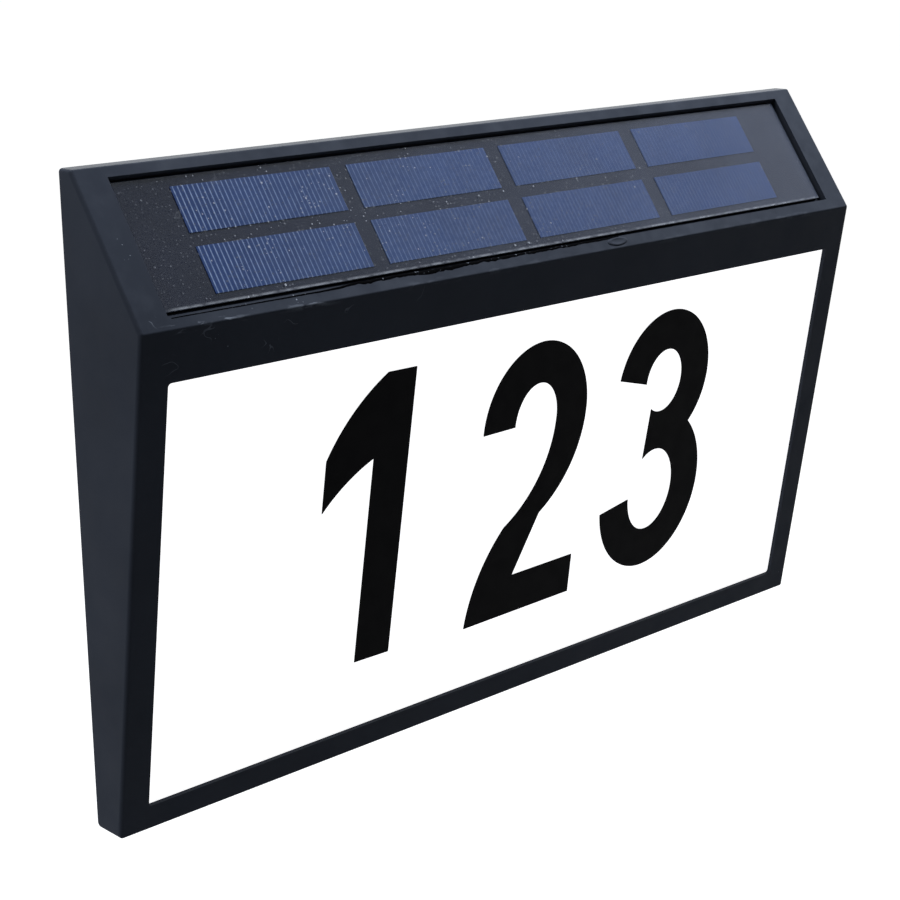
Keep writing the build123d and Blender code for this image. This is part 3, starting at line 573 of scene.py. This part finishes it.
def lead_finish():
    """Insulated wire with slightly uneven dye."""
    finish = Finish("lead_insulation", (0.35, 0.015, 0.012), 0.4, 0.4)
    tone = finish.ramp(finish.noise(5 * MM), 0.35, 0.65)
    finish.paint(finish.mix(tone, (0.33, 0.014, 0.011), (0.40, 0.02, 0.015)))
    finish.bump(finish.noise(1 * MM), 0.01 * MM, 0.3)
    return finish


# ---------------------------------------------------------------- finish of every CAD node
FINISH_OF = {
    "housing": housing_finish(),
    "back_cover": moulded_plastic("black_cover", BLACK_PLASTIC, 0.55, dust_and_light=0.3),
    "battery_door": moulded_plastic("black_door", shade(BLACK_PLASTIC, 1.15), 0.5, dust_and_light=0.3),
    "mode_button": soft_finish("grey_button", (0.055, 0.057, 0.060), 0.35 * MM, 0.7),
    "light_panel": panel_finish(),
    "numeral": vinyl_finish(),
    "solar_board": solar_base_finish(),
    "solar_cells": solar_cell_finish(),
    "seal": soft_finish("black_foam", (0.018, 0.018, 0.019), 0.5 * MM),
    "gasket": soft_finish("grey_silicone", (0.12, 0.12, 0.12), 0.6 * MM, 0.6),
    "light_tray": moulded_plastic("white_tray", (0.72, 0.73, 0.72), 0.45, 0.3, dust_and_light=0.1),
    "leds": lamp_finish(),
    "led_board": circuit_finish("white_circuit", (0.70, 0.71, 0.69), (0.6, 0.58, 0.5)),
    "control_board": circuit_finish("green_circuit", (0.012, 0.09, 0.035), (0.55, 0.5, 0.35)),
    "board_parts": component_finish(),
    "switch": component_finish(),
    "battery": battery_finish(),
    "battery_contacts": steel_finish("spring_steel", (0.66, 0.65, 0.62), 0.28),
    "screws": steel_finish("screw_steel", (0.50, 0.50, 0.49), 0.38),
    "leads": lead_finish(),
}


def finish_for(node):
    """The longest entry that the node's name holds wins, so that board_screws are screws."""
    if node in FINISH_OF:
        return FINISH_OF[node]
    fits = [key for key in FINISH_OF if key in node]
    return FINISH_OF[max(fits, key=len)]


def dress_cad_nodes():
    """Gives every CAD node its finish, apart from the film, which is made anew below."""
    for name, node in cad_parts.items():
        if name == "solar_film":
            continue
        node.data.materials.clear()
        node.data.materials.append(finish_for(name).material)


# ---------------------------------------------------------------- pieces made here
def add_piece(name, work, material):
    """Turns a finished bmesh into a piece of the sign's body."""
    mesh = bpy.data.meshes.new(name)
    work.to_mesh(mesh)
    work.free()
    piece = bpy.data.objects.new(name, mesh)
    bpy.context.scene.collection.objects.link(piece)
    piece.data.materials.append(material)
    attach(piece, "root")
    return piece


def add_smooth_piece(name, work, material):
    """Turns a finished bmesh into a smoothly shaded piece of the sign's body."""
    bmesh.ops.recalc_face_normals(work, faces=work.faces)
    add_piece(name, work, material).data.shade_smooth()


def slope_matrix(x, up, out):
    """Places something on the solar face, with its own Z out of the face."""
    turn = Matrix((along, up_slope, out_of_slope)).transposed().to_4x4()
    centre = along * x + up_slope * up + out_of_slope * out
    return Matrix.Translation(centre) @ turn


FILM_SKIN = 0.18 * MM


def add_film():
    """The clear film as a thin skin, with a hair of air between it and the cells."""
    left, right = extent("solar_film", along)
    foot, head = extent("solar_film", up_slope)
    top = extent("solar_film", out_of_slope)[1]
    work = bmesh.new()
    bmesh.ops.create_cube(work, size=1)
    size = Matrix.Diagonal((right - left, head - foot, FILM_SKIN, 1))
    place = slope_matrix((left + right) / 2, (foot + head) / 2, top - FILM_SKIN / 2)
    bmesh.ops.transform(work, matrix=place @ size, verts=work.verts)
    film = add_piece("clear_cover_film", work, film_material().material)
    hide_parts("solar_film")


# the oval blister on the bezel under the solar panel
NUB_LENGTH = 9.0 * MM
NUB_BREADTH = 2.9 * MM
NUB_X = 28.6 * MM
NUB_BELOW_BOARD = 3.05 * MM
NUB_SIDES = 48
# rings from the rim inwards: share of the half-breadth, and height in millimetres
NUB_PROFILE = (
    (1.0, -0.05),
    (0.9, 0.12),
    (0.78, 0.24),
    (0.64, 0.25),
    (0.5, 0.17),
    (0.3, 0.11),
    (0.12, 0.10),
)


def add_nub():
    """The small oval blister with a sunk middle."""
    work = bmesh.new()
    place = slope_matrix(NUB_X, board_foot - NUB_BELOW_BOARD, slope_level)
    rings = []
    for share, height in NUB_PROFILE:
        ring = []
        for step in range(NUB_SIDES):
            turn = 2 * pi * step / NUB_SIDES
            x = share * cos(turn) * NUB_LENGTH / 2
            y = share * sin(turn) * NUB_BREADTH / 2
            ring.append(work.verts.new(place @ Vector((x, y, height * MM))))
        rings.append(ring)
    for outer, inner in zip(rings, rings[1:]):
        for step in range(NUB_SIDES):
            after = (step + 1) % NUB_SIDES
            work.faces.new((outer[step], outer[after], inner[after], inner[step]))
    work.faces.new(rings[-1])
    work.faces.new(reversed(rings[0]))
    add_smooth_piece("bezel_blister", work, FINISH_OF["housing"].material)


BEAD_STEP = 0.8 * MM
BEAD_HEIGHT = 0.16 * MM
RECESS_PLAY = 1.5 * MM  # from the recess's lower edge to the board
BEAD_SEED = 5
# across the bead: share of its breadth, and height as a share of the whole
BEAD_SECTION = ((0, -0.3), (0.15, 0.6), (0.5, 1.0), (0.85, 0.6), (1, -0.3))
# stations along the sign: x, nearer edge and farther edge below the recess, in millimetres
BEAD_STATIONS = (
    (-132.5, 0.55, 0.80),
    (-100.0, 0.50, 0.85),
    (-84.0, 0.40, 0.85),
    (-74.0, -0.10, 0.80),
    (-55.0, -0.15, 0.95),
    (-20.0, -0.15, 0.85),
    (8.0, -0.10, 0.65),
    (30.0, -0.05, 0.30),
)


def bead_edges(x):
    """Nearer and farther edge of the bead of sealant at x."""
    for left, right in zip(BEAD_STATIONS, BEAD_STATIONS[1:]):
        if x <= right[0] * MM:
            share = (x / MM - left[0]) / (right[0] - left[0])
            pairs = zip(left[1:], right[1:])
            return [(first + share * (last - first)) * MM for first, last in pairs]
    return [edge * MM for edge in BEAD_STATIONS[-1][1:]]


def add_bead():
    """Black sealant that has crept out along the lower edge of the recess, uneven in its middle;
    its near-black also stands in as painted shade of that gap and groove.
    """
    dice = random.Random(BEAD_SEED)
    work = bmesh.new()
    rows = []
    wander = 0.0
    x = BEAD_STATIONS[0][0] * MM
    while x <= BEAD_STATIONS[-1][0] * MM:
        nearer, farther = bead_edges(x)
        breadth = farther - nearer
        wander = 0.7 * wander + dice.uniform(-0.35, 0.35)
        farther += wander * max(0, breadth - 0.3 * MM)
        nearer += 0.3 * wander * dice.random() * breadth
        breadth = farther - nearer
        height = min(BEAD_HEIGHT, 0.4 * breadth) * dice.uniform(0.8, 1.1)
        row = []
        for share, rise in BEAD_SECTION:
            up = board_foot - RECESS_PLAY - nearer - share * breadth
            out = slope_level + rise * height
            row.append(work.verts.new(along * x + up_slope * up + out_of_slope * out))
        rows.append(row)
        x += BEAD_STEP
    for first, second in zip(rows, rows[1:]):
        for step in range(len(first)):
            after = (step + 1) % len(first)
            work.faces.new((first[step], second[step], second[after], first[after]))
    work.faces.new(rows[0])
    work.faces.new(reversed(rows[-1]))
    # near-black bead: sealant, and painted shade of the gap and groove under the panel
    add_smooth_piece("sealant_bead_and_gap_shade", work, sealant_and_gap_shade_finish().material)


# ---------------------------------------------------------------- stage, light and camera
AMBIENT = 0.09
AMBIENT_COLOUR = (0.80, 0.90, 1.0, 1)
WHITE = (1, 1, 1, 1)
FLOOR_SIZE = 80
FLOOR_DROP = 0.28  # from the foot of the sign
FLOOR_COLOUR = (0.33, 0.33, 0.33, 1)
FLOOR_GLOW = 0.72
FLOOR_CLEAR = 0.25  # beyond this the floor fades into the white room


def seen_directly(tree):
    """1 for camera, glossy and transmission rays, 0 for the rays that carry light."""
    path = tree.nodes.new("ShaderNodeLightPath")
    seen = path.outputs["Is Camera Ray"]
    for kind in ("Is Glossy Ray", "Is Transmission Ray"):
        either = tree.nodes.new("ShaderNodeMath")
        either.operation = "MAXIMUM"
        tree.links.new(seen, either.inputs[0])
        tree.links.new(path.outputs[kind], either.inputs[1])
        seen = either.outputs[0]
    return seen


def set_world():
    """A room that looks white and lights the sign with a little blue-grey from all round."""
    world = bpy.data.worlds.new("white_room")
    bpy.context.scene.world = world
    world.use_nodes = True
    tree = world.node_tree
    ambient = tree.nodes["Background"]
    ambient.inputs["Color"].default_value = AMBIENT_COLOUR
    ambient.inputs["Strength"].default_value = AMBIENT
    white = tree.nodes.new("ShaderNodeBackground")
    white.inputs["Color"].default_value = WHITE
    mix = tree.nodes.new("ShaderNodeMixShader")
    tree.links.new(seen_directly(tree), mix.inputs[0])
    tree.links.new(ambient.outputs[0], mix.inputs[1])
    tree.links.new(white.outputs[0], mix.inputs[2])
    tree.links.new(mix.outputs[0], tree.nodes["World Output"].inputs["Surface"])


def add_floor():
    """A plain pale floor that is white to the lens and still takes the sign's soft shadow."""
    bpy.ops.mesh.primitive_plane_add(size=FLOOR_SIZE, location=(0, 0, sign_low.z - FLOOR_DROP))
    floor = bpy.context.object
    floor.name = "floor"
    material = bpy.data.materials.new("pale_floor")
    material.use_nodes = True
    tree = material.node_tree
    tree.nodes.remove(tree.nodes["Principled BSDF"])
    matt = tree.nodes.new("ShaderNodeBsdfDiffuse")
    matt.inputs["Color"].default_value = FLOOR_COLOUR
    glow = tree.nodes.new("ShaderNodeEmission")
    glow.inputs["Color"].default_value = WHITE
    place = tree.nodes.new("ShaderNodeTexCoord")
    reach = tree.nodes.new("ShaderNodeVectorMath")
    reach.operation = "LENGTH"
    tree.links.new(place.outputs["Object"], reach.inputs[0])
    fade = tree.nodes.new("ShaderNodeMapRange")
    fade.inputs["From Min"].default_value = FLOOR_CLEAR
    fade.inputs["From Max"].default_value = 4 * FLOOR_CLEAR
    fade.inputs["To Min"].default_value = FLOOR_GLOW
    tree.links.new(reach.outputs["Value"], fade.inputs["Value"])
    share = tree.nodes.new("ShaderNodeMath")
    share.operation = "MULTIPLY"
    tree.links.new(fade.outputs[0], share.inputs[1])
    both = tree.nodes.new("ShaderNodeAddShader")
    tree.links.new(seen_directly(tree), share.inputs[0])
    tree.links.new(share.outputs[0], glow.inputs["Strength"])
    tree.links.new(matt.outputs[0], both.inputs[0])
    tree.links.new(glow.outputs[0], both.inputs[1])
    tree.links.new(both.outputs[0], tree.nodes["Material Output"].inputs["Surface"])
    floor.data.materials.append(material)


def add_softbox(name, place, size, power, colour):
    """A rectangular area lamp that looks at the middle of the sign.

    Its size is given along the sign's depth first, then along the sign.
    """
    lamp = bpy.data.lights.new(name, "AREA")
    lamp.shape = "RECTANGLE"
    lamp.size, lamp.size_y = size
    lamp.energy = power
    lamp.color = colour
    box = bpy.data.objects.new(name, lamp)
    box.location = place
    box.rotation_euler = (-Vector(place)).to_track_quat("-Z", "Y").to_euler()
    box.visible_glossy = False
    bpy.context.scene.collection.objects.link(box)


def light_the_sign():
    """One soft box above the sign and one far out to its left."""
    add_softbox(
        "sky_box", place=(0.38, 0.03, 0.85), size=(0.3, 0.7), power=22, colour=(0.91, 0.95, 1.0)
    )
    add_softbox(
        "left_box", place=(-1.25, 0.38, 0.95), size=(0.9, 0.9), power=21, colour=(0.93, 0.96, 1.0)
    )


CAMERA_PLACE = Vector((-405.63, -414.41, 150.24)) * MM
CAMERA_AHEAD = Vector((0.66401, 0.69774, -0.26879))
CAMERA_RIGHT = Vector((0.72305, -0.69076, -0.00693))
CAMERA_LENS = 78.744


def add_camera():
    """The camera that was fitted to the photograph."""
    camera = bpy.data.cameras.new("camera")
    camera.lens = CAMERA_LENS
    camera.sensor_width = 36
    camera.clip_start = 0.01
    holder = bpy.data.objects.new("camera", camera)
    bpy.context.scene.collection.objects.link(holder)
    right = CAMERA_RIGHT.normalized()
    back = -CAMERA_AHEAD.normalized()
    upward = back.cross(right).normalized()
    right = upward.cross(back)
    turn = Matrix((right, upward, back)).transposed().to_4x4()
    holder.matrix_world = Matrix.Translation(CAMERA_PLACE) @ turn
    bpy.context.scene.camera = holder


dress_cad_nodes()
add_film()
add_nub()
add_bead()
set_world()
add_floor()
light_the_sign()
add_camera()
bpy.context.scene.view_settings.view_transform = "Standard"
